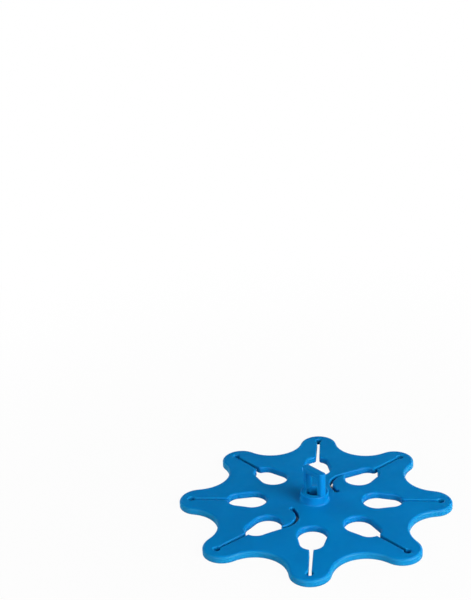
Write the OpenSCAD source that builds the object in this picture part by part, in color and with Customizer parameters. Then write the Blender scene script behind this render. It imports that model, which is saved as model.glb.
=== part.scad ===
// Hanging holder for a cluster of balloons.
// A flat eight-armed plate grips the balloon necks, and an eye on a hollow
// shank turns in the collar at its centre, so that the string does not wind up.
// Origin: centre of the plate's underside. +Z is up, hooks lie on the +Y and -Y arms.

/* [Plate] */
// Diameter across the tips of the arms
plate_d = 160; // [150:1:190]
// Diameter across the valleys between the arms
valley_d = 119.8; // [114:0.1:130]
// Radius of the round end of an arm
arm_tip_r = 11.5; // [9:0.5:13]
// Thickness of the plate
plate_t = 4; // [3.5:0.1:6]
// Radius of the rounded upper edge of the outline
plate_edge_r = 1.7; // [0.6:0.1:2.4]
// Number of arms
arm_count = 8; // [6:2:8]

/* [Neck holes] */
// Distance from the axis to the centre of the wide end
hole_pos = 36.5; // [34:0.5:38]
// Radius of the wide end
hole_wide_r = 8.4; // [7.5:0.1:9.5]
// Distance between the centres of the wide and the narrow end
hole_l = 7.9; // [7:0.1:10]
// Radius of the narrow end
hole_narrow_r = 6.7; // [5.5:0.1:7.2]
// Radius of the rounded upper edge of the hole
hole_edge_r = 1.3; // [0.3:0.1:1.5]

/* [Slits] */
// Width of the slit where it leaves the hole
slit_in_w = 2.3; // [1.8:0.1:2.6]
// Width of the slit at its far end
slit_out_w = 1.6; // [1.2:0.1:2]
// Radius of the rounded corners at the mouth of the slit
slit_mouth_r = 2.2; // [1:0.1:3]
// Diameter of the round hole that ends the slit
slit_end_d = 4.1; // [2.6:0.1:4.6]
// Distance from the tip of the arm to the centre of that hole
slit_end_inset = 7; // [6:0.1:10]
// Radius of the rounded upper edges of the slits and of the curled slots
slot_edge_r = 0.7; // [0.3:0.1:0.9]

/* [Ribbon hooks] */
// Width of the curled slot
hook_w = 1.9; // [1.4:0.1:2.4]
// Straight length between the hole and the curl
hook_run = 7.8; // [6:0.1:9]
// Radius of the curl, to the middle of the slot
hook_r = 11.9; // [10:0.1:13]
// Angle through which the slot curls, in degrees
hook_sweep = 102; // [80:1:120]
// Diameter of the round hole that ends the slot
hook_end_d = 3.2; // [2.4:0.1:4]
// Radius of the tip of the tongue beside the slot
hook_tip_r = 0.7; // [0.4:0.1:1]

/* [Collar] */
// Height of the collar above the plate
collar_h = 5.6; // [4:0.1:9]
// Wall of the collar around the shank
collar_wall = 1.5; // [1.2:0.1:3]
// Radius of the fillet between the collar and the plate
collar_fillet_r = 1.2; // [0.5:0.1:2]
// Radius of the rounded upper edge of the collar
collar_edge_r = 0.5; // [0.2:0.1:0.8]

/* [Hanging eye] */
// Height of the eye above the collar
eye_h = 14.1; // [11:0.1:20]
// Thickness of the eye between its two flats
eye_t = 4.6; // [3.5:0.1:6]
// Width of each side post
eye_post_w = 3.2; // [2.6:0.1:3.8]
// Thickness of the bar over the window
eye_bar_t = 3.2; // [2.4:0.1:5]
// Ledge by which each post stands over the collar
eye_ledge = 1.4; // [0.8:0.1:1.6]
// Radius of the upright corners of the posts
eye_corner_r = 1.6; // [0.8:0.1:1.7]
// Radius of the upper edges of the eye
eye_edge_r = 0.6; // [0.3:0.1:1]
// Radius of the upper corners of the window
window_corner_r = 1.2; // [0.5:0.1:2]

/* [Swivel shank] */
// Diameter of the bore through the shank
shank_bore_d = 10.4; // [9:0.1:13]
// Wall of the shank
shank_wall = 1.4; // [1.2:0.1:2]
// Running clearance between the shank and the collar, on the radius
run_gap = 0.1; // [0.05:0.01:0.15]
// End play of the shank, shared by its two ends
end_play = 0.1; // [0.06:0.01:0.2]
// Distance from the underside of the plate to the foot of the shank
foot_lift = 0.4; // [0.2:0.1:0.8]
// Depth of the recess under the plate that takes the snap lip
recess_h = 2.2; // [1.8:0.1:2.8]
// Distance by which the snap lip stands out from the shank
lip_out = 0.7; // [0.5:0.1:1]
// Height of the plain band of the snap lip
lip_band_h = 0.6; // [0.4:0.1:0.8]
// Room between the snap lip and the wall of its recess
lip_room = 0.4; // [0.3:0.1:0.8]
// Width of the slots that part the shank into fingers
finger_slot_w = 1.2; // [0.8:0.1:1.6]
// Length of the fingers, from the foot of the shank
finger_l = 6.4; // [5:0.1:7]

/* [Hidden] */
$fn = 96;

// Faces that only touch along a line are made to cross by these small amounts.
// The hollow arcs overrun by more than the round ones, so that their edges stay
// apart, and bite less, so that the outline runs smoothly from one into the other.
arc_overrun = 1.02;
hollow_overrun = 1.04;
bite = 0.04;
hollow_bite = 0.004;
// Length by which cutting shapes stand out of the piece they cut. Shapes that
// cut together stand out by different multiples, so that no two end in one plane.
past = 1;

blue = [0, 0.42, 0.69];

// Outline: round arm ends, joined by hollow arcs that are tangent to them.
// The two arms with curled slots are the first and the one opposite it.
arm_angle = 360 / arm_count;
half_angle = arm_angle / 2;
first_arm_angle = 90;
tip_pos = plate_d / 2 - arm_tip_r;
valley_bottom = valley_d / 2;
valley_r = (tip_pos ^ 2 + valley_bottom ^ 2 - 2 * tip_pos * valley_bottom * cos(half_angle)
    - arm_tip_r ^ 2) / (2 * (arm_tip_r - valley_bottom + tip_pos * cos(half_angle)));
valley_pos = valley_bottom + valley_r;
hollow_r = valley_r + hollow_bite;
to_valley = polar(valley_pos, half_angle) - [tip_pos, 0];
joint_point = to_valley * (arm_tip_r + past) / norm(to_valley);
end_sweep = atan2(to_valley.y, to_valley.x);
sweep_overlap = 5;
valley_sweep = end_sweep - half_angle + sweep_overlap;

// Neck hole, in the frame of an arm that points along +X
wide_end = [hole_pos, 0];
narrow_end = [hole_pos + hole_l, 0];
flank_angle = asin((hole_wide_r - hole_narrow_r) / hole_l);
flank_l = hole_l * cos(flank_angle);
flank_out = [sin(flank_angle), cos(flank_angle)];
flank_in = [-cos(flank_angle), sin(flank_angle)];
slit_end = [plate_d / 2 - slit_end_inset, 0];

// Curled slot, which carries on from the flank of the neck hole
hook_start = wide_end + hole_wide_r * flank_out + hook_run * flank_in;
hook_centre = hook_start - hook_r * flank_out;
hook_start_angle = 90 - flank_angle;
// Length by which the straight start of the slot runs on into the curl
hook_lead = 0.5;
// The curl opens out a little less than the round hole that ends it
curl_edge_r = slot_edge_r - bite;

// Swivel
bore_r = shank_bore_d / 2;
shank_r = bore_r + shank_wall;
journal_r = shank_r + run_gap;
collar_r = journal_r + collar_wall;
collar_top = plate_t + collar_h;
shoulder_z = collar_top + end_play / 2;
lip_r = shank_r + lip_out;
lip_top = recess_h - end_play / 2;
lip_bottom = lip_top - lip_band_h;

// Eye
eye_w = 2 * (journal_r + eye_ledge);
window_w = eye_w - 2 * eye_post_w;
window_h = eye_h - eye_bar_t;

function polar(r, a) = [r * cos(a), r * sin(a)];

function turned(p, a) = [p.x * cos(a) - p.y * sin(a), p.x * sin(a) + p.y * cos(a)];

function arm_direction(k) = first_arm_angle + k * arm_angle;

// Puts its children on every arm, or on those that are listed
module on_arms(arms = [0 : arm_count - 1]) {
    for (k = arms) rotate(arm_direction(k)) children();
}

// Section of a wall up to x = r whose upper edge at height h is rounded off
module rounded_section(r, h, edge) {
    difference() {
        square([r, h]);
        translate([r - edge, h - edge]) difference() {
            square(edge + past);
            circle(edge * arc_overrun);
        }
    }
}

// Section of a cutter from x = near to x = far that opens out at the upper face
// of the plate, and stands out of both faces by the length out
module flared_section(near, far, edge, out) {
    translate([near, -out]) square([far - near, plate_t + 2 * out]);
    difference() {
        translate([(near + far) / 2, plate_t - edge]) square([(far - near) / 2 + edge, edge + out]);
        translate([far + edge, plate_t - edge]) circle(edge * arc_overrun);
    }
}

module flared_drill(r, edge) {
    rotate_extrude() flared_section(0, r, edge, past);
}

// Cutter along a straight wall, with the material to the left of the way from start to end.
// It opens out a little less than the round cut that it runs into, so that their edges cross.
module flared_wall(start, end, depth, edge, out) {
    run = end - start;
    translate(concat(start, 0)) rotate([90, 0, 90 + atan2(run.y, run.x)])
        linear_extrude(norm(run)) flared_section(-depth, 0, edge - bite, out);
}

// Straight sides of the neck hole, with the same opened edge as its round ends
module flared_flank() {
    start = wide_end + (hole_wide_r - bite) * flank_out;
    flared_wall(start, start - flank_l * flank_in, hole_narrow_r / 2, hole_edge_r, 2 * past);
}

// Clears the sharp corner inside an outline, up to a disc that rounds it
module corner_relief(outline, disc_centre, disc_r) {
    difference() {
        polygon(concat(outline, [disc_centre]));
        translate(disc_centre) circle(disc_r * arc_overrun);
    }
}

module slit_mouth_corner() {
    aside = slit_in_w / 2 + slit_mouth_r;
    along = sqrt((hole_narrow_r + slit_mouth_r) ^ 2 - aside ^ 2);
    corner_relief([narrow_end, narrow_end + [along, 0]], narrow_end + [along, aside], slit_mouth_r);
}

module through_cut() {
    translate([0, 0, -3 * past]) linear_extrude(plate_t + 6 * past) children();
}

module slit_wall() {
    flared_wall(narrow_end + [0, slit_in_w / 2], slit_end + [0, slit_out_w / 2], slit_out_w / 2,
        slot_edge_r, 4 * past);
}

module slit() {
    mouth = [0, slit_in_w / 2 - bite];
    tail = [0, slit_out_w / 2 - bite];
    through_cut() {
        slit_mouth_corner();
        mirror([0, 1]) slit_mouth_corner();
        polygon([narrow_end + mouth, narrow_end - mouth, slit_end - tail, slit_end + tail]);
    }
    slit_wall();
    mirror([0, 1, 0]) slit_wall();
    translate(slit_end) flared_drill(slit_end_d / 2, slot_edge_r);
}

module neck_hole() {
    translate(wide_end) flared_drill(hole_wide_r, hole_edge_r);
    translate(narrow_end) flared_drill(hole_narrow_r, hole_edge_r);
    flared_flank();
    mirror([0, 1, 0]) flared_flank();
    slit();
}

// Straight start of the curled slot, which runs on into the curl
module hook_throat() {
    half = (hook_w / 2 - bite) * flank_out;
    inside = bite * flank_out;
    end = hook_start + hook_lead * flank_in;
    hole_side = narrow_end + (hole_narrow_r - 2 * bite) * flank_out;
    tongue_side = wide_end + hole_wide_r * flank_out - half;
    flared_wall(end + half, hole_side, hook_w / 2, curl_edge_r, 4 * past);
    flared_wall(tongue_side, end - half, hook_w / 2, curl_edge_r, 5 * past);
    through_cut()
        polygon([hole_side - inside, end + half - inside, end - half + inside, tongue_side + inside]);
}

// Rounds the tip of the tongue between the neck hole and the curled slot
module hook_tip() {
    inset = hook_w / 2 - bite + hook_tip_r;
    along = sqrt((hole_wide_r + hook_tip_r) ^ 2 - (hole_wide_r - inset) ^ 2);
    flank_start = wide_end + (hole_wide_r - bite) * flank_out;
    flank_point = flank_start + along * flank_in;
    tip_centre = wide_end + (hole_wide_r - inset) * flank_out + along * flank_in;
    corner_relief([wide_end, flank_start, flank_point], tip_centre, hook_tip_r);
}

module hook_curl() {
    translate(hook_centre) rotate(hook_start_angle) rotate_extrude(angle = hook_sweep)
        translate([hook_r, 0]) for (side = [0, 1]) mirror([side, 0])
            flared_section(-hook_w / 4, hook_w / 2, curl_edge_r, past);
    translate(hook_centre + polar(hook_r, hook_start_angle + hook_sweep))
        flared_drill(hook_end_d / 2, slot_edge_r);
}

module ribbon_hook() {
    hook_throat();
    through_cut() hook_tip();
    hook_curl();
}

module star_outline() {
    mirrored_point = [joint_point.x, -joint_point.y];
    difference() {
        union() {
            polygon([
                for (k = [0 : arm_count - 1], p = [mirrored_point, [0, 0], joint_point])
                    turned([tip_pos, 0] + p, arm_direction(k))
            ]);
            on_arms() translate([tip_pos, 0]) circle(arm_tip_r);
        }
        on_arms() rotate(half_angle) translate([valley_pos, 0]) circle(hollow_r);
    }
}

// Rounds the upper edge of an arm's round end
module end_rounding() {
    translate([tip_pos, 0]) rotate(-end_sweep) rotate_extrude(angle = 2 * end_sweep)
        translate([arm_tip_r - plate_edge_r, plate_t - plate_edge_r]) difference() {
            square(plate_edge_r + past);
            circle(plate_edge_r * arc_overrun);
        }
}

// Rounds the upper edge of the hollow between two arms
module valley_rounding() {
    side = plate_edge_r + 2 * past;
    rotate(half_angle) translate([valley_pos, 0]) rotate(180 - valley_sweep)
        rotate_extrude(angle = 2 * valley_sweep)
            translate([hollow_r + plate_edge_r, plate_t - plate_edge_r]) difference() {
                translate([-side, 0]) square(side);
                circle(plate_edge_r * hollow_overrun);
            }
}

module star_plate() {
    difference() {
        linear_extrude(plate_t) star_outline();
        on_arms() {
            end_rounding();
            valley_rounding();
        }
    }
}

// Collar with a rounded rim and a fillet at its foot
module collar() {
    rotate_extrude() {
        rounded_section(collar_r, collar_top, collar_edge_r);
        translate([collar_r, plate_t]) difference() {
            translate([-collar_wall / 2, -plate_t / 2])
                square([collar_wall / 2 + collar_fillet_r, plate_t / 2 + collar_fillet_r]);
            translate([collar_fillet_r, collar_fillet_r]) circle(collar_fillet_r * arc_overrun);
        }
    }
}

// Journal for the shank, and the recess that its snap lip turns in
module journal() {
    translate([0, 0, -past]) cylinder(r = journal_r, h = collar_top + 2 * past);
    translate([0, 0, -past]) cylinder(r = lip_r + lip_room, h = recess_h + past);
}

// Plate with its collar and neck holes, before the hooks are cut
module plate_blank() {
    difference() {
        union() {
            star_plate();
            collar();
        }
        on_arms() neck_hole();
        journal();
    }
}

module holder_plate() {
    color(blue) difference() {
        plate_blank();
        on_arms([0, arm_count / 2]) ribbon_hook();
    }
}

// Shank with a snap lip at its foot, before it is bored and slotted
module shank_blank() {
    rotate_extrude() polygon([
        [0, foot_lift],
        [shank_r, foot_lift],
        [lip_r, lip_bottom],
        [lip_r, lip_top],
        [shank_r, lip_top],
        [shank_r, shoulder_z],
        [0, shoulder_z]
    ]);
}

// Upright rectangle that stands on the X axis, with its two upper corners rounded
module arch(w, h, r) {
    translate([-w / 2, 0]) square([w, h - r]);
    translate([r - w / 2, 0]) square([w - 2 * r, h]);
    for (side = [-1, 1]) translate([side * (w / 2 - r), h - r]) circle(r);
}

// Plan of the eye, with rounded corners
module eye_plan() {
    square([eye_w, eye_t - 2 * eye_corner_r], center = true);
    square([eye_w - 2 * eye_corner_r, eye_t], center = true);
    for (x = [-1, 1], y = [-1, 1])
        translate([x * (eye_w / 2 - eye_corner_r), y * (eye_t / 2 - eye_corner_r)]) circle(eye_corner_r);
}

// Plan, front and side of the eye, each with its own rounded corners, cross in one block
module eye_blank() {
    translate([0, 0, shoulder_z]) intersection() {
        linear_extrude(eye_h) eye_plan();
        rotate([90, 0, 0]) linear_extrude(2 * eye_t, center = true) arch(eye_w, eye_h, eye_edge_r);
        rotate([90, 0, 90]) linear_extrude(2 * eye_w, center = true) arch(eye_t, eye_h, eye_edge_r);
    }
}

module window() {
    translate([0, 0, shoulder_z]) rotate([90, 0, 0])
        linear_extrude(2 * eye_t, center = true) arch(window_w, window_h, window_corner_r);
}

// Two crossed cuts part the foot of the shank into four springy fingers
module finger_slots() {
    for (turn = [0, 90])
        rotate(turn) translate([0, 0, foot_lift + (finger_l - past) / 2])
            cube([2 * lip_r + past, finger_slot_w, finger_l + past], center = true);
}

module hanging_eye() {
    color(blue) difference() {
        union() {
            shank_blank();
            eye_blank();
        }
        translate([0, 0, foot_lift - past]) cylinder(r = bore_r, h = shoulder_z - foot_lift + past);
        window();
        finger_slots();
    }
}

holder_plate();
hanging_eye();
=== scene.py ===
import math

import bpy
from mathutils import Matrix, Vector


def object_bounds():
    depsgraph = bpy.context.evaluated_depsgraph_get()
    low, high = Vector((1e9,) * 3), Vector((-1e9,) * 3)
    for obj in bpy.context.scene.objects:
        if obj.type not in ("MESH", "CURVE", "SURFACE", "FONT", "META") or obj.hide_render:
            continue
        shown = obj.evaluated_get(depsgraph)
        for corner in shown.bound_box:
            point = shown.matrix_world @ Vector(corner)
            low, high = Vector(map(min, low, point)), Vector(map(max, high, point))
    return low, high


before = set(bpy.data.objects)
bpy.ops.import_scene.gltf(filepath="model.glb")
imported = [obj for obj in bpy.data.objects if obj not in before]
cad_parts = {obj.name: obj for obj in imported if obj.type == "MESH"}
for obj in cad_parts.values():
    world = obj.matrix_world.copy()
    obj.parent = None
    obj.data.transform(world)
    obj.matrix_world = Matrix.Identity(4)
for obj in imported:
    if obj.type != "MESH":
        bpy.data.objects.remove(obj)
cad_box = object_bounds()

MM = 0.001

# The photograph in pixels: where the plate's centre lies in it, and where its optical axis does
IMAGE_W, IMAGE_H = 471, 600
LONG_SIDE = max(IMAGE_W, IMAGE_H)
PLATE_PIXEL = (314.64, 499.35)
AXIS_PIXEL = (265.5, 300.0)
FOCAL_PX = 1057.5

# Viewing angles in degrees, and the distance of the plate's centre along the optical axis
VIEW_AZIMUTH = 50.305
VIEW_TILT = 20.308
VIEW_ROLL = -2.355
VIEW_DEPTH = 620 * MM
SENSOR_MM = 36.0
CLIP_NEAR, CLIP_FAR = 0.01, 100
PLATE_T = 4 * MM

# Colours, in linear light
BLUE = (0.0, 0.176, 0.458)
BLUE_DEEP = (0.0, 0.158, 0.420)
BLUE_WORN = (0.012, 0.212, 0.500)
# Paler, more cyan colour of the painted highlight on the outer rim
BLUE_RIM_HIGHLIGHT = (0.003, 0.188, 0.410)
FLOOR_WHITE = (0.55, 0.55, 0.55)
WHITE = (1.0, 1.0, 1.0)

# Size of the plastic's flow clouds, grain, ripples and rubbed patches, and how broken up their noise is
CLOUD_SIZE = 22 * MM
GRAIN_SIZE = 0.45 * MM
RIPPLE_SIZE = 6 * MM
RUB_SIZE = 3 * MM
SMOOTH_NOISE = 2
BROKEN_NOISE = 4
NOISE_ROUGHNESS = 0.55

# Noise values between which clouds and roughness go from one end to the other, and rubbed patches come in
NOISE_SPAN = (0.3, 0.7)
RUB_SPAN = (0.35, 0.75)

# Height of grain and ripples, the grain's share in the roughness, and the least and most roughness
GRAIN_HEIGHT = 0.02 * MM
RIPPLE_HEIGHT = 0.05 * MM
GRAIN_SHARE = 0.4
ROUGHNESS_RANGE = (0.36, 0.50)

# Softened edges: their radius, the cosine to the real face where wear starts and is full, and its strength
EDGE_R = 0.6 * MM
EDGE_SAMPLES = 6
EDGE_COSINE = (0.99, 0.80)
WEAR_SHARE = 0.5

# The outer rim gets a painted highlight, a paler and more cyan tint: side faces far from the axis, with free
# room in front of them.
# Each pair says where the painted highlight starts and where it is full.
RIM_HIGHLIGHT_R = (52 * MM, 58 * MM)
SIDE_COSINE = (0.95, 0.6)
FREE_ROOM = 5 * MM
FREE_SHARE = (0.4, 0.8)
FREE_SAMPLES = 8

# Gloss, the share of the light that passes inside the plastic, and how far red, green and blue get, in mm
PLASTIC_IOR = 1.49
SPECULAR_LEVEL = 0.12
INSIDE_SHARE = 0.6
INSIDE_REACH = (0.2, 1.5, 1.6)

# Strength of the room light, and of the dark ceiling that reflections show
ROOM_LIGHT = 0.10
CEILING = 0.02

# Where the ceiling ends and the backdrop is fully white, as the sine of the angle above the horizon
BACKDROP_FADE = (0.30, 0.05)

# Width of the floor, and its gap under the plate, so that the two faces do not lie in one plane
FLOOR_SIZE = 40.0
FLOOR_GAP = 0.02 * MM

# The floor lies in plain shadow under the middle of the plate, glows further out, and far out is all glow
GLOW_START_R = 22 * MM
GLOW_R = 27 * MM
FULL_GLOW_R = 500 * MM
NEAR_GLOW = 0.95

# Reflections show the floor's own shade under the plate, and the glow further out
MIRRORED_GLOW_R = (75 * MM, 110 * MM)

OFF_TO_ON = (0.0, 1.0)


def turned_view(azimuth, tilt):
    """Unit vector from the object towards a viewer; azimuth 0 looks along +Y."""
    a, e = math.radians(azimuth), math.radians(tilt)
    return Vector((math.sin(a) * math.cos(e), -math.cos(a) * math.cos(e), math.sin(e)))


def make_camera():
    """Camera at the photograph's viewing angle, with the plate at its place in the picture."""
    azimuth, roll = math.radians(VIEW_AZIMUTH), math.radians(VIEW_ROLL)
    back = turned_view(VIEW_AZIMUTH, VIEW_TILT)
    right = Vector((math.cos(azimuth), math.sin(azimuth), 0))
    up = back.cross(right)
    axis_x = math.cos(roll) * right + math.sin(roll) * up
    axis_y = math.cos(roll) * up - math.sin(roll) * right
    aside = (PLATE_PIXEL[0] - AXIS_PIXEL[0]) / FOCAL_PX * VIEW_DEPTH
    above = (AXIS_PIXEL[1] - PLATE_PIXEL[1]) / FOCAL_PX * VIEW_DEPTH
    place = Vector((0, 0, PLATE_T)) - aside * axis_x - above * axis_y + VIEW_DEPTH * back
    turn = Matrix((axis_x, axis_y, back)).transposed().to_4x4()

    data = bpy.data.cameras.new("camera")
    data.sensor_width = SENSOR_MM
    data.lens = SENSOR_MM * FOCAL_PX / LONG_SIDE
    data.shift_x = (IMAGE_W / 2 - AXIS_PIXEL[0]) / LONG_SIDE
    data.shift_y = (AXIS_PIXEL[1] - IMAGE_H / 2) / LONG_SIDE
    data.clip_start, data.clip_end = CLIP_NEAR, CLIP_FAR
    camera = bpy.data.objects.new("camera", data)
    camera.matrix_world = Matrix.Translation(place) @ turn
    bpy.context.scene.collection.objects.link(camera)
    bpy.context.scene.camera = camera


class Shader:
    """Short way to write a node tree: each call adds a node and wires what it is given."""

    def __init__(self, owner):
        self.tree = owner.node_tree
        self.tree.nodes.clear()

    def put(self, node, name, value):
        """Set or wire one input, by its name or its number."""
        socket = node.inputs[name]
        if isinstance(value, bpy.types.NodeSocket):
            self.tree.links.new(value, socket)
        else:
            socket.default_value = value

    def add(self, kind, settings=None, **inputs):
        node = self.tree.nodes.new(kind)
        for key, value in (settings or {}).items():
            setattr(node, key, value)
        for key, value in inputs.items():
            self.put(node, key.replace("_", " "), value)
        return node

    def add_in_order(self, kind, settings, values):
        node = self.add(kind, settings)
        for number, value in enumerate(values):
            self.put(node, number, value)
        return node

    def math(self, operation, *values):
        return self.add_in_order("ShaderNodeMath", {"operation": operation}, values).outputs[0]

    def measure(self, operation, *vectors):
        """Vector math that gives a number."""
        node = self.add_in_order("ShaderNodeVectorMath", {"operation": operation}, vectors)
        return node.outputs["Value"]

    def ramp(self, value, span, result=OFF_TO_ON):
        """Smooth step over a span, which may run downwards, from the first result to the second."""
        node = self.add("ShaderNodeMapRange", {"interpolation_type": "SMOOTHSTEP"}, Value=value)
        for name, number in zip(("From Min", "From Max", "To Min", "To Max"), (*span, *result)):
            self.put(node, name, number)
        return node.outputs["Result"]

    def noise(self, place, size, detail):
        node = self.add("ShaderNodeTexNoise", Vector=place, Scale=1 / size, Detail=detail)
        self.put(node, "Roughness", NOISE_ROUGHNESS)
        return node.outputs["Fac"]

    def mix(self, share, first, second):
        """Mix of two colours; the node has other inputs of the same names, so these go by number."""
        node = self.add("ShaderNodeMix", {"data_type": "RGBA"})
        for number, value in ((0, share), (6, first), (7, second)):
            self.put(node, number, value)
        return node.outputs[2]

    def mirrored_rays(self, path):
        return self.math("MAXIMUM", path.outputs["Is Glossy Ray"], path.outputs["Is Transmission Ray"])


def rgba(colour):
    return (*colour, 1.0)


def new_material(name):
    material = bpy.data.materials.new(name)
    material.use_nodes = True
    return material


def rubbed_edges(s, place, rounded, normal):
    """How much each edge is rubbed, in patches: an edge is where the softened normal leaves the real one."""
    edge = s.ramp(s.measure("DOT_PRODUCT", rounded, normal), EDGE_COSINE)
    patchy = s.ramp(s.noise(place, RUB_SIZE, BROKEN_NOISE), RUB_SPAN)
    return s.math("MULTIPLY", edge, patchy)


def painted_rim_highlight(s, place, normal):
    """Mask of the painted rim highlight: 1 on the side faces round the outside of the plate, and 0
    elsewhere, also inside the slits.
    """
    outer = s.ramp(s.measure("LENGTH", place), RIM_HIGHLIGHT_R)
    upright = s.math("ABSOLUTE", s.add("ShaderNodeSeparateXYZ", Vector=normal).outputs["Z"])
    side = s.ramp(upright, SIDE_COSINE)
    local = {"samples": FREE_SAMPLES, "only_local": True}
    room = s.add("ShaderNodeAmbientOcclusion", local, Distance=FREE_ROOM)
    free = s.ramp(room.outputs["AO"], FREE_SHARE)
    return s.math("MULTIPLY", outer, s.math("MULTIPLY", side, free))


def moulded_plastic(name):
    """Satin moulded plastic: spark-eroded grain, faint flow clouds, paler edges and a painted highlight on
    the outer rim.
    """
    material = new_material(name)
    s = Shader(material)
    place = s.add("ShaderNodeTexCoord").outputs["Object"]
    normal = s.add("ShaderNodeNewGeometry").outputs["Normal"]
    rounded = s.add("ShaderNodeBevel", {"samples": EDGE_SAMPLES}, Radius=EDGE_R).outputs["Normal"]
    clouds = s.ramp(s.noise(place, CLOUD_SIZE, BROKEN_NOISE), NOISE_SPAN)
    grain = s.noise(place, GRAIN_SIZE, SMOOTH_NOISE)
    ripple = s.noise(place, RIPPLE_SIZE, SMOOTH_NOISE)

    body = s.mix(clouds, rgba(BLUE_DEEP), rgba(BLUE))
    # Painted highlight: the outer rim's open side faces are tinted paler and more cyan
    rim_highlighted = s.mix(painted_rim_highlight(s, place, normal), body, rgba(BLUE_RIM_HIGHLIGHT))
    wear = s.math("MULTIPLY", rubbed_edges(s, place, rounded, normal), WEAR_SHARE)
    colour = s.mix(wear, rim_highlighted, rgba(BLUE_WORN))

    grain_part = s.math("MULTIPLY", grain, GRAIN_SHARE)
    ripple_part = s.math("MULTIPLY", ripple, 1 - GRAIN_SHARE)
    rough = s.ramp(s.math("ADD", grain_part, ripple_part), NOISE_SPAN, ROUGHNESS_RANGE)

    grain_height = s.math("MULTIPLY", grain, GRAIN_HEIGHT)
    ripple_height = s.math("MULTIPLY", ripple, RIPPLE_HEIGHT)
    height = s.math("ADD", grain_height, ripple_height)
    bump = s.add("ShaderNodeBump", Height=height, Strength=1.0, Distance=1.0, Normal=rounded)
    bumped = bump.outputs["Normal"]

    shader = s.add("ShaderNodeBsdfPrincipled", Base_Color=colour, Roughness=rough, Normal=bumped)
    shader.inputs["IOR"].default_value = PLASTIC_IOR
    shader.inputs["Specular IOR Level"].default_value = SPECULAR_LEVEL
    shader.inputs["Subsurface Weight"].default_value = INSIDE_SHARE
    shader.inputs["Subsurface Radius"].default_value = INSIDE_REACH
    shader.inputs["Subsurface Scale"].default_value = MM
    s.add("ShaderNodeOutputMaterial", Surface=shader.outputs["BSDF"])
    return material


def white_floor():
    """Pale floor: the camera, and reflections beyond the plate, see it nearly white, with a soft shadow."""
    material = new_material("white_floor")
    s = Shader(material)
    away = s.measure("LENGTH", s.add("ShaderNodeTexCoord").outputs["Object"])
    path = s.add("ShaderNodeLightPath")
    mirrored = s.math("MULTIPLY", s.mirrored_rays(path), s.ramp(away, MIRRORED_GLOW_R))
    seen = s.math("MAXIMUM", path.outputs["Is Camera Ray"], mirrored)
    near = s.ramp(away, (GLOW_START_R, GLOW_R), (0.0, NEAR_GLOW))
    far = s.ramp(away, (GLOW_R, FULL_GLOW_R), (0.0, 1 - NEAR_GLOW))
    share = s.math("MULTIPLY", seen, s.math("ADD", near, far))

    lit = s.add("ShaderNodeBsdfDiffuse", Color=rgba(FLOOR_WHITE)).outputs["BSDF"]
    glow = s.add("ShaderNodeEmission", Color=rgba(WHITE), Strength=1.0).outputs["Emission"]
    both = s.add_in_order("ShaderNodeMixShader", {}, (share, lit, glow))
    s.add("ShaderNodeOutputMaterial", Surface=both.outputs["Shader"])
    return material


def make_floor():
    half = FLOOR_SIZE / 2
    corners = [(-half, -half, 0), (half, -half, 0), (half, half, 0), (-half, half, 0)]
    mesh = bpy.data.meshes.new("floor")
    mesh.from_pydata(corners, [], [(0, 1, 2, 3)])
    mesh.materials.append(white_floor())
    floor = bpy.data.objects.new("floor", mesh)
    floor.location.z = cad_box[0].z - FLOOR_GAP
    bpy.context.scene.collection.objects.link(floor)


def make_lamp(name, turn, tilt, distance, size, power, mirrored=True):
    """Square soft box that looks at the object; turn is measured from the camera, to its right."""
    data = bpy.data.lights.new(name, "AREA")
    data.shape = "SQUARE"
    data.size = size
    data.energy = power
    lamp = bpy.data.objects.new(name, data)
    out = turned_view(VIEW_AZIMUTH + turn, tilt)
    lamp.location = out * distance
    lamp.rotation_mode = "QUATERNION"
    lamp.rotation_quaternion = out.to_track_quat("Z", "Y")
    lamp.visible_glossy = mirrored
    bpy.context.scene.collection.objects.link(lamp)


def make_lamps():
    """Key and fill beside the camera, and two low lamps for the back that reflections leave out."""
    make_lamp("key", turn=48, tilt=22, distance=0.9, size=0.6, power=13.8)
    make_lamp("fill", turn=-36, tilt=12, distance=1.0, size=0.8, power=7.6)
    for name, turn in (("back_right", 130), ("back_left", -130)):
        make_lamp(name, turn, tilt=5, distance=1.0, size=0.6, power=10.5, mirrored=False)


def make_world():
    """Dim even room light; the camera sees it as a white backdrop, and reflections see its low part so."""
    world = bpy.data.worlds.new("studio")
    world.use_nodes = True
    s = Shader(world)
    path = s.add("ShaderNodeLightPath")
    mirrored = s.mirrored_rays(path)
    direction = s.add("ShaderNodeSeparateXYZ", Vector=s.add("ShaderNodeTexCoord").outputs["Generated"])
    low = s.ramp(direction.outputs["Z"], BACKDROP_FADE)
    seen = s.math("MAXIMUM", path.outputs["Is Camera Ray"], s.math("MULTIPLY", mirrored, low))
    room = s.ramp(mirrored, OFF_TO_ON, (ROOM_LIGHT, CEILING))
    strength = s.ramp(seen, OFF_TO_ON, (room, 1.0))
    background = s.add("ShaderNodeBackground", Color=rgba(WHITE), Strength=strength)
    s.add("ShaderNodeOutputWorld", Surface=background.outputs["Background"])
    bpy.context.scene.world = world


def dress(node, material):
    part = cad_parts[node]
    part.data.materials.clear()
    part.data.materials.append(material)


bpy.context.scene.view_settings.view_transform = "Standard"
make_camera()
make_world()
make_floor()
make_lamps()

dress("holder_plate", moulded_plastic("plate_plastic"))
dress("hanging_eye", moulded_plastic("eye_plastic"))
